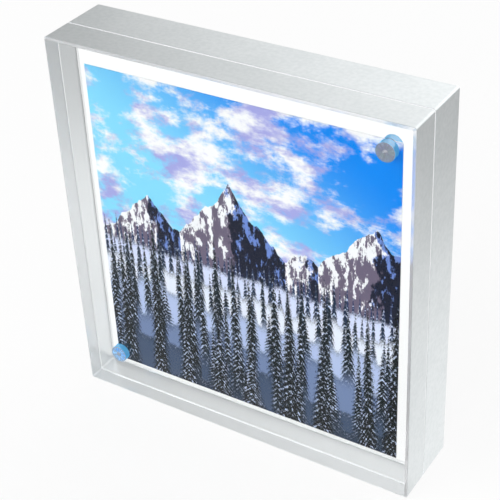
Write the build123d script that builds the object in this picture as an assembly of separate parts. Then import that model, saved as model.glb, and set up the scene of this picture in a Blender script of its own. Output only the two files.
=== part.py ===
from build123d import *
import os

# A magnetic photo frame: two clear blocks that clamp a paper print between them.
# X runs to the right as seen from the front, Y runs to the back and Z runs up.
# The origin is the middle of the base that the frame stands on.

# Outside of the frame, over its coated sides
frame_width = 101.6
frame_height = 107.95

# Clear blocks, sawn from two thicknesses of sheet
front_block_depth = 9.525
rear_block_depth = 12.7
corner_radius = 0.6
face_bevel = 0.5
joint_bevel = 0.15

# Silver coat on the four sides of each block, between the bevels
coat_thickness = 0.1

# Paper print, loose in the joint between the blocks
print_width = 88.2
print_height = 92.5
print_thickness = 0.2
print_clearance = 0.03
print_shift_right = 1.15

# Magnets, one pair at the upper right corner and one at the lower left corner
magnet_diameter = 4.76
magnet_length = 3.18
magnet_edge_bevel = 0.2
magnet_from_side = 9.0
magnet_from_end = 9.9

# Blind holes for the magnets, bored with a spur-point cutter from the joint face
hole_clearance = 0.1
magnet_recess = 0.05
adhesive_thickness = 0.15
spur_mark_diameter = 1.4
spur_mark_depth = 0.6
cut_overrun = 1.0

# Places worked out from the sizes above
joint_gap = print_thickness + 2 * print_clearance
frame_depth = front_block_depth + joint_gap + rear_block_depth
front_face_y = -frame_depth / 2
front_joint_y = front_face_y + front_block_depth
rear_joint_y = front_joint_y + joint_gap
block_width = frame_width - 2 * coat_thickness
block_height = frame_height - 2 * coat_thickness
magnet_x = frame_width / 2 - magnet_from_side
magnet_spots = {
    "upper": (magnet_x, frame_height - magnet_from_end),
    "lower": (-magnet_x, magnet_from_end),
}


def upright_plane(y):
    """A plane across the middle of the frame, at a depth y, that faces backwards."""
    return Plane(origin=(0, y, frame_height / 2), x_dir=(1, 0, 0), z_dir=(0, 1, 0))


def hole_plane(spot, joint_y, inwards):
    """A plane on the joint face at a magnet hole, whose own Z runs into the block."""
    x, z = magnet_spots[spot]
    return Plane(origin=(x, joint_y, z), x_dir=(1, 0, 0), z_dir=(0, inwards, 0))


def magnet_hole():
    """The space that one bored hole takes: a flat floor with a spur mark in its middle."""
    radius = magnet_diameter / 2 + hole_clearance
    floor = magnet_recess + magnet_length + adhesive_thickness
    outline = Polyline(
        (0, -cut_overrun),
        (radius, -cut_overrun),
        (radius, floor),
        (spur_mark_diameter / 2, floor),
        (0, floor + spur_mark_depth),
        close=True,
    )
    section = Plane.XZ * make_face(outline)
    return revolve(section, axis=Axis.Z)


def clear_block(front_y, depth, front_bevel, rear_bevel, joint_y, inwards):
    """A block with eased corners, polished bevels and two blind magnet holes."""
    outline = RectangleRounded(block_width, block_height, corner_radius)
    block = extrude(upright_plane(front_y) * outline, amount=depth)
    block = chamfer(block.edges().group_by(Axis.Y)[0], length=front_bevel)
    block = chamfer(block.edges().group_by(Axis.Y)[-1], length=rear_bevel)
    for spot in magnet_spots:
        block -= hole_plane(spot, joint_y, inwards) * magnet_hole()
    return block


def edge_coat(front_y, depth, front_bevel, rear_bevel):
    """The film of paint round a block's four sides, which stops at its bevels."""
    outside = RectangleRounded(frame_width, frame_height, corner_radius + coat_thickness)
    inside = RectangleRounded(block_width, block_height, corner_radius)
    film_depth = depth - front_bevel - rear_bevel
    return extrude(upright_plane(front_y + front_bevel) * (outside - inside), amount=film_depth)


def magnet(spot, joint_y, inwards):
    """A plated disc magnet with bevelled edges, set just below the joint face."""
    disc = Cylinder(magnet_diameter / 2, magnet_length, align=(Align.CENTER, Align.CENTER, Align.MIN))
    disc = chamfer(disc.edges().filter_by(GeomType.CIRCLE), length=magnet_edge_bevel)
    return hole_plane(spot, joint_y, inwards) * Pos(0, 0, magnet_recess) * disc


def adhesive(spot, joint_y, inwards):
    """The clear film that bonds a magnet to its hole's floor, round the spur mark."""
    ring = Circle(magnet_diameter / 2 - magnet_edge_bevel) - Circle(spur_mark_diameter / 2)
    film = extrude(ring, amount=adhesive_thickness)
    return hole_plane(spot, joint_y, inwards) * Pos(0, 0, magnet_recess + magnet_length) * film


def photo_print():
    """The paper print, a little to the right of the middle of the joint."""
    sheet = Pos(print_shift_right, 0) * Rectangle(print_width, print_height)
    return extrude(upright_plane(front_joint_y + print_clearance) * sheet, amount=print_thickness)


nodes = {
    "front_block": clear_block(
        front_face_y, front_block_depth, face_bevel, joint_bevel, front_joint_y, -1
    ),
    "rear_block": clear_block(
        rear_joint_y, rear_block_depth, joint_bevel, face_bevel, rear_joint_y, 1
    ),
    "front_edge_coat": edge_coat(front_face_y, front_block_depth, face_bevel, joint_bevel),
    "rear_edge_coat": edge_coat(rear_joint_y, rear_block_depth, joint_bevel, face_bevel),
    "photo_print": photo_print(),
}
for spot in magnet_spots:
    nodes[f"front_{spot}_magnet"] = magnet(spot, front_joint_y, -1)
    nodes[f"front_{spot}_adhesive"] = adhesive(spot, front_joint_y, -1)
    nodes[f"rear_{spot}_magnet"] = magnet(spot, rear_joint_y, 1)
    nodes[f"rear_{spot}_adhesive"] = adhesive(spot, rear_joint_y, 1)

os.makedirs("parts", exist_ok=True)
for name, shape in nodes.items():
    export_step(shape, f"parts/{name}.step")
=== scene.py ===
import math

import bpy
import numpy as np
from mathutils import Matrix, Vector


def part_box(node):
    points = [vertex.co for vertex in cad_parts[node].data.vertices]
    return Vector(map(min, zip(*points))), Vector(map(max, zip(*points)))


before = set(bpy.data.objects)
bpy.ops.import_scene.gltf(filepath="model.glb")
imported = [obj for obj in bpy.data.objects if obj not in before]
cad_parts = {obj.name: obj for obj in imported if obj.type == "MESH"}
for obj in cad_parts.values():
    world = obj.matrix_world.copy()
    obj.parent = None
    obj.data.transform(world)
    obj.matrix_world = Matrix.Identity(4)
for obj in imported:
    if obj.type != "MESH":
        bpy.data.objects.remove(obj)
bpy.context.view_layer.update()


# Clear blocks
# Two slabs of cast acrylic, sawn to one outline, with polished faces and small frosted bevels.
# Their four sides are painted, so from inside each side shows the back of the paint. The blind
# magnet holes are left as the spur cutter bored them, frosted on their walls and floors.
block_low, block_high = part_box("front_block")
rear_block_low, rear_block_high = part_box("rear_block")
corner_radius = 0.0006
face_bevel = 0.0005
joint_bevel = 0.00015
hole_radius = 0.00248
hole_depth = 0.00338
# Deeper than the spur's mark, which goes on past the floor of the hole.
hole_reach = 0.0045
# The film under a magnet is a ring round the spur's mark.
film_inner_radius = 0.0007
film_outer_radius = 0.00218
# Two surfaces that are nearer than this lie on each other.
touch = 0.00002


class Wire:
    """One output of a material's node. Sums on it add Math nodes to the same material."""

    def __init__(self, socket):
        self.socket = socket

    def node(self, kind, settings=None, inputs=None, output=0):
        """A node of any other kind. Its settings are set first, and its sockets after."""
        made = self.socket.id_data.nodes.new(kind)
        for name, value in (settings or {}).items():
            setattr(made, name, value)
        for name, value in (inputs or {}).items():
            if isinstance(value, Wire):
                self.socket.id_data.links.new(value.socket, made.inputs[name])
            else:
                made.inputs[name].default_value = value
        return Wire(made.outputs[output])

    def math(self, operation, *others):
        """The result of one Math node on this output and the others, in that order."""
        values = dict(enumerate((self, *others)))
        return self.node("ShaderNodeMath", {"operation": operation}, values)

    def __add__(self, other):
        return self.math("ADD", other)

    def __radd__(self, other):
        return self.math("ADD", other)

    def __sub__(self, other):
        return self.math("SUBTRACT", other)

    def __rsub__(self, other):
        return self.node("ShaderNodeMath", {"operation": "SUBTRACT"}, {0: other, 1: self})

    def __mul__(self, other):
        return self.math("MULTIPLY", other)

    def __rmul__(self, other):
        return self.math("MULTIPLY", other)

    def __truediv__(self, other):
        return self.math("DIVIDE", other)

    def __gt__(self, other):
        return self.math("GREATER_THAN", other)

    def __lt__(self, other):
        return self.math("LESS_THAN", other)

    def __abs__(self):
        return self.math("ABSOLUTE")


def new_material(name):
    """An empty material of that name, and the Object coordinate that its patterns read."""
    material = bpy.data.materials.new(name)
    material.use_nodes = True
    material.node_tree.nodes.clear()
    coordinate = material.node_tree.nodes.new("ShaderNodeTexCoord")
    return material, Wire(coordinate.outputs["Object"])


def set_surface(material, shader):
    """The shader becomes the material's surface."""
    output = material.node_tree.nodes.new("ShaderNodeOutputMaterial")
    material.node_tree.links.new(shader.socket, output.inputs["Surface"])


def parts_of(vector):
    """The X, Y and Z of a vector, each on its own."""
    split = vector.node("ShaderNodeSeparateXYZ", None, {0: vector})
    return [Wire(output) for output in split.socket.node.outputs]


def light(red, green, blue):
    """A colour as a screen shows it, 0 to 255 each, as linear light: the sRGB curve is undone."""
    share = np.array([red, green, blue]) / 255
    linear = np.where(share > 0.04045, ((share + 0.055) / 1.055) ** 2.4, share / 12.92)
    return (*linear.tolist(), 1.0)


def blend_colours(factor, first, second):
    """The first colour where the factor is 0, and the second where it is 1. A Mix node has its
    colours at sockets 6 and 7, and their blend at output 2."""
    sockets = {"Factor": factor, 6: first, 7: second}
    return factor.node("ShaderNodeMix", {"data_type": "RGBA"}, sockets, output=2)


def ramp_up(value, low, high, least=0.0, most=1.0):
    """A smooth step: the least up to low, the most from high, and an S curve between."""
    settings = {"interpolation_type": "SMOOTHSTEP"}
    inputs = {"Value": value, "From Min": low, "From Max": high, "To Min": least, "To Max": most}
    return value.node("ShaderNodeMapRange", settings, inputs)


def noise(place, scale, detail, roughness=0.5, stretch=(1, 1, 1)):
    """Fractal noise from 0 to 1, on a place that is first stretched along each axis."""
    stretched = place.node("ShaderNodeMapping", None, {"Vector": place, "Scale": stretch})
    inputs = {"Vector": stretched, "Scale": scale, "Detail": detail, "Roughness": roughness}
    return place.node("ShaderNodeTexNoise", None, inputs)


def from_outline(place, low, high):
    """How far a point stands outside the blocks' outline, a rectangle with round corners:
    the length of what is left of it past the corner's centre, less the corner's radius."""
    x, _, z = parts_of(place)
    across = abs(x - (low.x + high.x) / 2) - ((high.x - low.x) / 2 - corner_radius)
    along = abs(z - (low.z + high.z) / 2) - ((high.z - low.z) / 2 - corner_radius)
    across = across.math("MAXIMUM", 0.0)
    along = along.math("MAXIMUM", 0.0)
    return (across * across + along * along).math("SQRT") - corner_radius


acrylic_colour = light(254, 255, 255)
# The faces mirror the studio less than bare acrylic would, as when stray light is kept off them.
acrylic_shine = (0.15, 0.15, 0.15, 1.0)
acrylic_index = 1.49
bevel_roughness = 0.3
bored_roughness = 0.06
# How much of a bevel, of a hole's wall and of its floor is frosted, and the frost's colour.
bevel_white = light(250, 251, 253)
face_bevel_frost = 0.35
joint_bevel_frost = 0.8
# The holes' frosted walls take this blue of the print's sky, a painted reflection.
painted_sky_blue = light(96, 198, 255)
hole_wall_frost = 0.8
hole_floor_grey = light(232, 234, 242)
hole_floor_frost = 0.5
# The frosted joint bevels get a little painted glow, for the light that the clear block carries to
# them. The frosted walls of the holes are painted the blue of the print's sky, with a painted blue
# glow: a painted reflection of the print.
joint_bevel_painted_glow = 0.07
hole_wall_painted_glow = 0.26


def clear_acrylic(name, low, high, face_y, joint_y):
    """Clear acrylic with frosted bevels and holes. It has no skin of its own where paint is
    bonded to its sides, or the magnets' film to the floors of its holes."""
    material, place = new_material(name)
    x, y, z = parts_of(place)
    outside = from_outline(place, low, high)
    from_face = abs(y - face_y)
    from_joint = abs(y - joint_y)
    on_face_bevel = (from_face < face_bevel) * (from_face > touch) * (outside > -face_bevel)
    on_joint_bevel = (from_joint < joint_bevel) * (from_joint > touch) * (outside > -joint_bevel)
    bonded = outside > -touch
    bored = 0.0
    hole_wall = 0.0
    for magnet in ("front_upper_magnet", "front_lower_magnet"):
        magnet_low, magnet_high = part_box(magnet)
        aside = x - (magnet_low.x + magnet_high.x) / 2
        above = z - (magnet_low.z + magnet_high.z) / 2
        off_centre = (aside * aside + above * above).math("SQRT")
        in_hole = (off_centre < hole_radius + touch) * (from_joint < hole_reach)
        bored = in_hole + bored
        hole_wall = in_hole * (off_centre > hole_radius - touch) + hole_wall
        under_film = (off_centre > film_inner_radius) * (off_centre < film_outer_radius)
        bonded = under_film * (abs(from_joint - hole_depth) < touch) + bonded
    acrylic = {
        "Base Color": acrylic_colour,
        "Roughness": bored * bored_roughness + on_face_bevel * bevel_roughness,
        "IOR": acrylic_index,
        "Specular Tint": acrylic_shine,
        "Transmission Weight": 1.0,
        "Alpha": 1 - bonded,
    }
    shader = place.node("ShaderNodeBsdfPrincipled", None, acrylic)
    # The joint bevels' frost and the hole walls' blue frost carry painted glow, and the blue is a
    # painted reflection of the print's sky.
    for share, colour, painted_glow in (
        (on_face_bevel * face_bevel_frost, bevel_white, 0.0),
        (on_joint_bevel * joint_bevel_frost, bevel_white, joint_bevel_painted_glow),
        (hole_wall * hole_wall_frost, painted_sky_blue, hole_wall_painted_glow),
        ((bored - hole_wall) * hole_floor_frost, hole_floor_grey, 0.0),
    ):
        frost = {
            "Base Color": colour,
            "Roughness": 1.0,
            "Specular IOR Level": 0.0,
            "Emission Color": colour,
            "Emission Strength": painted_glow,
        }
        frosted = place.node("ShaderNodeBsdfPrincipled", None, frost)
        shader = place.node("ShaderNodeMixShader", None, {0: share, 1: shader, 2: frosted})
    set_surface(material, shader)
    return material


def dress(node, material):
    """The CAD node takes the material on its own object."""
    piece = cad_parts[node]
    piece.data.materials.clear()
    piece.data.materials.append(material)


front_acrylic = clear_acrylic("front_acrylic", block_low, block_high, block_low.y, block_high.y)
dress("front_block", front_acrylic)
rear_acrylic = clear_acrylic(
    "rear_acrylic", rear_block_low, rear_block_high, rear_block_high.y, rear_block_low.y
)
dress("rear_block", rear_acrylic)


# Edge coats
# A film of satin silver paint on the four sides of each block, which stops at the bevels. The
# rear coat's tones are painted a little lighter than the front's: painted light on the rear strips.
coats = [
    # The third colour of each coat, the wet tone, is painted lighter than the dry tones: painted
    # light.
    ("front_edge_coat", light(216, 221, 222), light(226, 230, 231), light(242, 244, 245)),
    # The rear coat's lighter tones are painted light.
    ("rear_edge_coat", light(221, 226, 227), light(232, 236, 237), light(246, 248, 249)),
]
coat_metal = 0.85
# The wet side is the back of the paint, which lies on the acrylic and took its polish. Its lighter
# tone is painted light, for the dimmer light inside the blocks.
dry_roughness = 0.35
wet_roughness = 0.28
grain_share = 0.6
shade_edges = (0.3, 0.7)
grain_strength = 0.12
grain_relief = 0.0001


def between(share, first, second):
    """The first number where the share is 0, and the second where it is 1."""
    return share * (second - first) + first


for node, dark_tone, pale_tone, wet_tone_painted_lighter in coats:
    coat_material, coat_place = new_material(f"{node}_silver")
    grain = noise(coat_place, scale=900, detail=3)
    cloud = noise(coat_place, scale=60, detail=2)
    shade = ramp_up(cloud * (1 - grain_share) + grain * grain_share, *shade_edges)
    bump = {"Strength": grain_strength, "Distance": grain_relief, "Height": grain}
    bonded = from_outline(coat_place, block_low, block_high) < touch
    from_behind = coat_place.node("ShaderNodeNewGeometry", output="Backfacing")
    wet_side = bonded.math("MAXIMUM", from_behind)
    # The wet side's lighter tone is painted light.
    silver = {
        "Base Color": blend_colours(wet_side, blend_colours(shade, dark_tone, pale_tone), wet_tone_painted_lighter),
        "Metallic": coat_metal,
        "Roughness": between(wet_side, dry_roughness, wet_roughness),
        "Alpha": 1 - bonded * from_behind,
        "Normal": coat_place.node("ShaderNodeBump", None, bump),
    }
    set_surface(coat_material, coat_place.node("ShaderNodeBsdfPrincipled", None, silver))
    dress(node, coat_material)


# Magnets
# Sintered discs, lapped flat and nickel plated to a satin finish. One pair of them holds the
# frame together at the upper right corner, and one at the lower left.
dull_nickel = light(186, 184, 194)
bright_nickel = light(212, 211, 217)
lap_edges = (0.35, 0.65)
nickel_roughness = (0.18, 0.38)
nickel_material, nickel_place = new_material("satin_nickel")
lap = noise(nickel_place, scale=2600, detail=4, roughness=0.6)
nickel = {
    "Base Color": blend_colours(ramp_up(lap, *lap_edges), dull_nickel, bright_nickel),
    "Metallic": 1.0,
    "Roughness": between(lap, *nickel_roughness),
}
set_surface(nickel_material, nickel_place.node("ShaderNodeBsdfPrincipled", None, nickel))
for end in ("front", "rear"):
    for spot in ("upper", "lower"):
        dress(f"{end}_{spot}_magnet", nickel_material)


# Adhesive
# A thin film between each magnet and the floor of its hole. Its colours are a painted reflection
# of the print: grey with lilac and green at the upper pair, and sky blue at the lower, with a
# painted blue glow that is strongest at the lower pair.
film_painted_reflections = {
    "upper": (light(196, 190, 212), light(206, 216, 212), 0.06),
    "lower": (light(116, 198, 255), light(206, 234, 255), 0.34),
}
film_metal = 0.6
film_roughness = 0.35
fleck_edges = (0.4, 0.62)
joint_middle = (block_high.y + rear_block_low.y) / 2
joint_half_gap = (rear_block_low.y - block_high.y) / 2
for spot, (tint, reflected_fleck, painted_glow) in film_painted_reflections.items():
    film_material, film_place = new_material(f"{spot}_reflection_tinted_film")
    mottle = noise(film_place, scale=700, detail=3, roughness=0.6)
    _, depth, _ = parts_of(film_place)
    floor_side = abs(depth - joint_middle) > joint_half_gap + hole_depth - touch
    from_behind = film_place.node("ShaderNodeNewGeometry", output="Backfacing")
    film = {
        # The film's colours are a painted reflection of the print.
        "Base Color": blend_colours(ramp_up(mottle, *fleck_edges), tint, reflected_fleck),
        "Metallic": film_metal,
        "Roughness": film_roughness,
        "Alpha": 1 - floor_side * from_behind,
        # A painted blue glow, for the print's sky reflected at the magnet.
        "Emission Color": painted_sky_blue,
        "Emission Strength": painted_glow,
    }
    set_surface(film_material, film_place.node("ShaderNodeBsdfPrincipled", None, film))
    for end in ("front", "rear"):
        dress(f"{end}_{spot}_adhesive", film_material)


# Photo print
# A loose sheet of glossy paper, plain on the back. The front is printed to its edges with a
# landscape: clouds over snowy peaks, and rows of conifers that stand in mist. The picture's
# places are in millimetres from the lower left corner of the sheet.
print_low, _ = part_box("photo_print")
print_material, print_place = new_material("photo_print")
millimetres = 1000
to_sheet = {
    "Vector": print_place,
    "Location": [-v * millimetres for v in print_low],
    "Scale": [millimetres] * 3,
}
sheet_place = print_place.node("ShaderNodeMapping", None, to_sheet)
across, deep, up = parts_of(sheet_place)
noise_middle = 0.5


def along_noise(distance, length, seed, detail=5.0):
    """Fractal noise from 0 to 1 along one direction, whose largest waves have that length."""
    inputs = {"W": distance / length + seed, "Scale": 1.0, "Detail": detail}
    return distance.node("ShaderNodeTexNoise", {"noise_dimensions": "1D"}, inputs)


def chance(number):
    """A random share from 0 to 1 that belongs to a whole number."""
    return number.node("ShaderNodeTexWhiteNoise", {"noise_dimensions": "1D"}, {"W": number})


# The sky goes from azure at the upper right to a pale cyan, under heaped clouds.
pale_sky = light(138, 224, 255)
azure_sky = light(0, 140, 246)
azure_edges = (62, 108)
azure_rise = 0.8
azure_drift = 0.5
lit_cloud = light(255, 255, 255)
shaded_cloud = light(170, 172, 232)
cloud_edges = (0.45, 0.56)
underside_edges = (0.4, 0.56)
azure = ramp_up(up * azure_rise + across * azure_drift, *azure_edges)
heap = noise(sheet_place, scale=0.045, detail=8, roughness=0.64, stretch=(1.0, 1.0, 1.7))
underside = noise(sheet_place, scale=0.07, detail=6, roughness=0.6, stretch=(1.0, 1.0, 1.9))
sky_colour = blend_colours(azure, pale_sky, azure_sky)
cloud_colour = blend_colours(ramp_up(underside, *underside_edges), shaded_cloud, lit_cloud)
picture = blend_colours(ramp_up(heap, *cloud_edges), sky_colour, cloud_colour)

# Each peak is a place across, a height and a slope. The sun comes from the left, so the
# snow and the rock of the right-hand sides lie in blue shade.
peaks = [(16, 58, 0.85), (41, 67, 1.05), (63, 55, 0.7), (82, 68, 0.95)]
lit_snow = light(252, 253, 255)
shaded_snow = light(112, 142, 214)
lit_rock = light(112, 102, 124)
shaded_rock = light(20, 26, 48)
ridge_wander = 22
ridge_edge = 0.7
skyline_swing = 9
skyline_edge = 0.1
bare_downhill = 0.005
bare_in_shade = 0.03
bare_edges = (0.5, 0.54)
crag = noise(sheet_place, scale=0.22, detail=8, roughness=0.65, stretch=(1.0, 1.0, 0.6))
streak = noise(sheet_place, scale=0.45, detail=9, roughness=0.7, stretch=(1.0, 1.0, 0.42))
skyline = 0.0
shaded = 0.0
for peak_across, peak_up, slope in peaks:
    flank = peak_up - abs(across - peak_across) * slope
    in_front = flank > skyline
    past_ridge = across - peak_across + (crag - noise_middle) * ridge_wander
    shaded = ramp_up(past_ridge, -ridge_edge, ridge_edge) * in_front + shaded * (1 - in_front)
    skyline = flank.math("MAXIMUM", skyline)
skyline = skyline + (along_noise(across, length=9, seed=3.1) - noise_middle) * skyline_swing
below_skyline = skyline - up
snow = blend_colours(shaded, lit_snow, shaded_snow)
rock = blend_colours(shaded, lit_rock, shaded_rock)
bareness = streak + below_skyline * bare_downhill + shaded * bare_in_shade
mountain = blend_colours(ramp_up(bareness, *bare_edges), snow, rock)
picture = blend_colours(ramp_up(below_skyline, -skyline_edge, skyline_edge), picture, mountain)

# Each row of conifers is a pitch, a foot, a height, a half width, a count of tiers, and the
# colours of its needles and of the mist before it. Snow lies on the boughs in patches.
rows = [
    (1.7, 41.0, 6.5, 0.8, 6, light(46, 60, 98), light(222, 230, 255)),
    (2.6, 35.0, 10.0, 1.2, 8, light(28, 46, 72), light(236, 242, 255)),
    (3.9, 28.0, 15.0, 1.8, 11, light(16, 33, 47), light(184, 200, 234)),
    (5.5, 19.0, 22.0, 2.6, 15, light(11, 26, 34), light(118, 138, 178)),
    (7.6, 9.0, 30.0, 3.5, 19, light(8, 20, 23), light(66, 84, 112)),
    (9.1, 0.0, 36.0, 4.2, 23, light(6, 17, 19), light(40, 56, 78)),
    (10.8, -9.0, 43.0, 4.9, 27, light(5, 14, 15), light(16, 28, 36)),
]
bough_snow = light(202, 216, 246)
# Each row is shifted by a part of its pitch, and draws its own random values.
row_shift = 0.37
row_seed = 50
pitch_middle = 0.5
# The least and the most of a tree's breadth, its height and its place in its pitch.
breadths = (0.6, 1.15)
breadth_seed = 900
tallnesses = (0.55, 1.45)
sways = (-0.2, 0.2)
sway_seed = 500
ground_wave = 1.1
ground_swing = 0.6
ground_seed = 7.3
ground_ragged = 3
ground_edges = (0, 1.5)
bough_slope = 0.7
bough_ragged = 0.09
bough_depth = 0.5
outline_ragged = 1.2
outline_edge = 0.02
# Snow lies thickest at this part of a tier, and thins out to both sides of it.
snow_crest = 0.4
snow_thinning = 0.4
snow_by_tree = 0.05
snow_edges = (0.44, 0.51)
mist_ragged = 8
mist_edges = (-0.12, 0.26)
ragged = noise(sheet_place, scale=2.4, detail=5, roughness=0.75)
patchy = noise(sheet_place, scale=0.9, detail=5, roughness=0.7)
for row, (pitch, foot, height, half_width, tiers, needles, mist) in enumerate(rows):
    stand = across / pitch + row * row_shift
    number = stand.math("FLOOR")
    own = chance(number + row * row_seed)
    broad = between(chance(number + row * row_seed + breadth_seed), *breadths)
    sway = between(chance(number + row * row_seed + sway_seed), *sways)
    tall = between(own, *tallnesses) * height
    aside = abs(stand - number - pitch_middle - sway) * pitch
    wave = along_noise(across, height * ground_wave, row * ground_seed, detail=3.0)
    ground = (wave - noise_middle) * height * ground_swing + foot
    drop = (tall + ground - up) / tall
    tier = (drop - aside / (height * bough_slope) + ragged * bough_ragged + own) * tiers
    bough = tier.math("FRACT")
    spread = drop * (bough * bough_depth + (1 - bough_depth)) * broad * half_width
    spread = spread + (ragged - noise_middle) * half_width * outline_ragged
    tree = ramp_up(spread - aside, -outline_edge * pitch, outline_edge * pitch) * (drop > 0)
    tree = tree.math("MAXIMUM", ramp_up(ground - up + ragged * ground_ragged, *ground_edges))
    cover = patchy - abs(bough - snow_crest) * snow_thinning - own * snow_by_tree
    tint = blend_colours(ramp_up(cover, *snow_edges), needles, bough_snow)
    over_mist = up - ground + (ragged - noise_middle) * mist_ragged
    out_of_mist = ramp_up(over_mist, height * mist_edges[0], height * mist_edges[1])
    picture = blend_colours(tree, picture, blend_colours(out_of_mist, mist, tint))

# The ink is on the front face, and the rest of the sheet is bare, with a little of its fibre.
ink_depth = 0.05
dull_paper = light(238, 238, 239)
bright_paper = light(248, 248, 250)
paper_roughness = 0.3
paper_shine = 0.05
fibre = noise(sheet_place, scale=1.4, detail=5, roughness=0.7)
bare_paper = blend_colours(fibre, dull_paper, bright_paper)
paper = {
    "Base Color": blend_colours(deep < ink_depth, bare_paper, picture),
    "Roughness": paper_roughness,
    "Specular IOR Level": paper_shine,
}
set_surface(print_material, print_place.node("ShaderNodeBsdfPrincipled", None, paper))
dress("photo_print", print_material)


# Floor and light
# A white table top that runs far back. What is seen straight or through the clear blocks is
# pure white. What the silver, the magnets and the print mirror or catch is a studio of soft
# greys: a pool of light on the table behind the frame, three walls and a ceiling.
floor_half = 4.0
floor_level = -0.0001
floor_mesh = bpy.data.meshes.new("floor")
corner_sides = ((-1, -1), (1, -1), (1, 1), (-1, 1))
corners = [(side * floor_half, end * floor_half, floor_level) for side, end in corner_sides]
floor_mesh.from_pydata(corners, [], [(0, 1, 2, 3)])
floor = bpy.data.objects.new("floor", floor_mesh)
bpy.context.scene.collection.objects.link(floor)


def at_least(count, least):
    """1 where a count of a ray's bounces is at least that whole number, and 0 elsewhere."""
    return count > least - 0.5


def light_path(start):
    """The outputs of a Light Path node by their names, and 1 for the rays that come from the
    camera, straight or only through clear pieces, and see the white background."""
    outputs = start.node("ShaderNodeLightPath").socket.node.outputs
    rays = {output.name: Wire(output) for output in outputs}
    bounced = at_least(rays["Glossy Depth"] + rays["Diffuse Depth"], 1)
    straight = (rays["Is Camera Ray"] + rays["Is Transmission Ray"]) * (1 - bounced)
    return rays, straight


white = (1, 1, 1, 1)
table_white = light(245, 245, 245)
shadow_share = 0.12
pool_behind = 0.04
pool_edges = (0.06, 0.19)
pool_front_edges = (-0.03, 0.0)
pool_levels = (0.46, 1.07)
# Rays that have passed through a block meet the pool's edge sooner.
inside_shift = 0.035
floor_material, floor_place = new_material("white_table")
rays, straight = light_path(floor_place)
floor_x, floor_y, _ = parts_of(floor_place)
behind = floor_y - pool_behind
inside = at_least(rays["Transmission Depth"], 2)
away = (floor_x * floor_x + behind * behind).math("SQRT") + inside * inside_shift
pool = ramp_up(away, *pool_edges, 1.0, 0.0) * ramp_up(floor_y, *pool_front_edges)
strength = straight + (1 - straight) * between(pool, *pool_levels)
glowing = floor_place.node("ShaderNodeEmission", None, {"Color": white, "Strength": strength})
matt = floor_place.node("ShaderNodeBsdfDiffuse", None, {"Color": table_white})
glow_share = (1 - rays["Is Diffuse Ray"]) * (1 - shadow_share)
table = floor_place.node("ShaderNodeMixShader", None, {0: glow_share, 1: matt, 2: glowing})
set_surface(floor_material, table)
floor_mesh.materials.append(floor_material)

# The back wall is brightest in its middle, a little to the right and above. Light that reaches
# the print through both faces of a block, and leaves through both, loses about half on the
# way, and so does the shine of the magnets and their film. The gains give it back, so that
# they show their own colours.
back_wall_turn = 0.12
back_wall_rise = 0.2
back_wall_edges = (0.585, 0.92)
back_wall_levels = (0.1, 1.35)
front_wall_level = 1.2
right_wall_level = 0.4
ceiling_level = 0.3
enclosed_gain = 1.05
shining_gain = 0.9
world = bpy.data.worlds.new("studio")
world.use_nodes = True
world.node_tree.nodes.clear()
bpy.context.scene.world = world
direction = Wire(world.node_tree.nodes.new("ShaderNodeTexCoord").outputs["Generated"])
rays, straight = light_path(direction)
rightwards, backwards, upwards = parts_of(direction)
to_back_wall = backwards + rightwards * back_wall_turn + upwards * back_wall_rise
back_wall = ramp_up(to_back_wall, *back_wall_edges, *back_wall_levels)
front_wall = backwards.math("MINIMUM", 0.0) * -front_wall_level
right_wall = rightwards.math("MAXIMUM", 0.0) * right_wall_level
shining = at_least(rays["Transmission Depth"], 2) * at_least(rays["Glossy Depth"], 1)
enclosed = at_least(rays["Transmission Depth"], 4) * at_least(rays["Diffuse Depth"], 1)
level = back_wall + front_wall * (shining * shining_gain + 1) + right_wall
level = level + upwards * ceiling_level
strength = straight + (1 - straight) * level * (enclosed * enclosed_gain + 1)
background = direction.node("ShaderNodeBackground", None, {"Color": white, "Strength": strength})
world_output = world.node_tree.nodes.new("ShaderNodeOutputWorld")
world.node_tree.links.new(background.socket, world_output.inputs["Surface"])

# A softbox stands in front of the frame, above it and to the left.
softbox = bpy.data.objects.new("softbox", bpy.data.lights.new("softbox", "AREA"))
bpy.context.scene.collection.objects.link(softbox)
softbox.data.shape = "SQUARE"
softbox.data.size = 0.8
softbox.data.energy = 5.0
softbox_place = Vector((-0.6, -0.8, 0.6))
softbox_aim = Vector((0, 0, 0.05))
softbox_turn = (softbox_aim - softbox_place).to_track_quat("-Z", "Y").to_matrix().to_4x4()
softbox.matrix_world = Matrix.Translation(softbox_place) @ softbox_turn


# Camera
# It looks down on the frame from the front right, as the photograph does.
camera_place = Vector((0.15901, -0.23835, 0.24753))
camera_aim = Vector((0.00698, -0.01124, 0.06309))
camera_roll = math.radians(-3.191)
camera = bpy.data.objects.new("camera", bpy.data.cameras.new("camera"))
bpy.context.scene.collection.objects.link(camera)
camera.data.sensor_width = 36.0
camera.data.lens = 97.0
camera.data.clip_start = 0.01
turn = (camera_aim - camera_place).to_track_quat("-Z", "Y").to_matrix().to_4x4()
camera.matrix_world = Matrix.Translation(camera_place) @ turn @ Matrix.Rotation(camera_roll, 4, "Z")
bpy.context.scene.camera = camera
bpy.context.scene.view_settings.view_transform = "Standard"
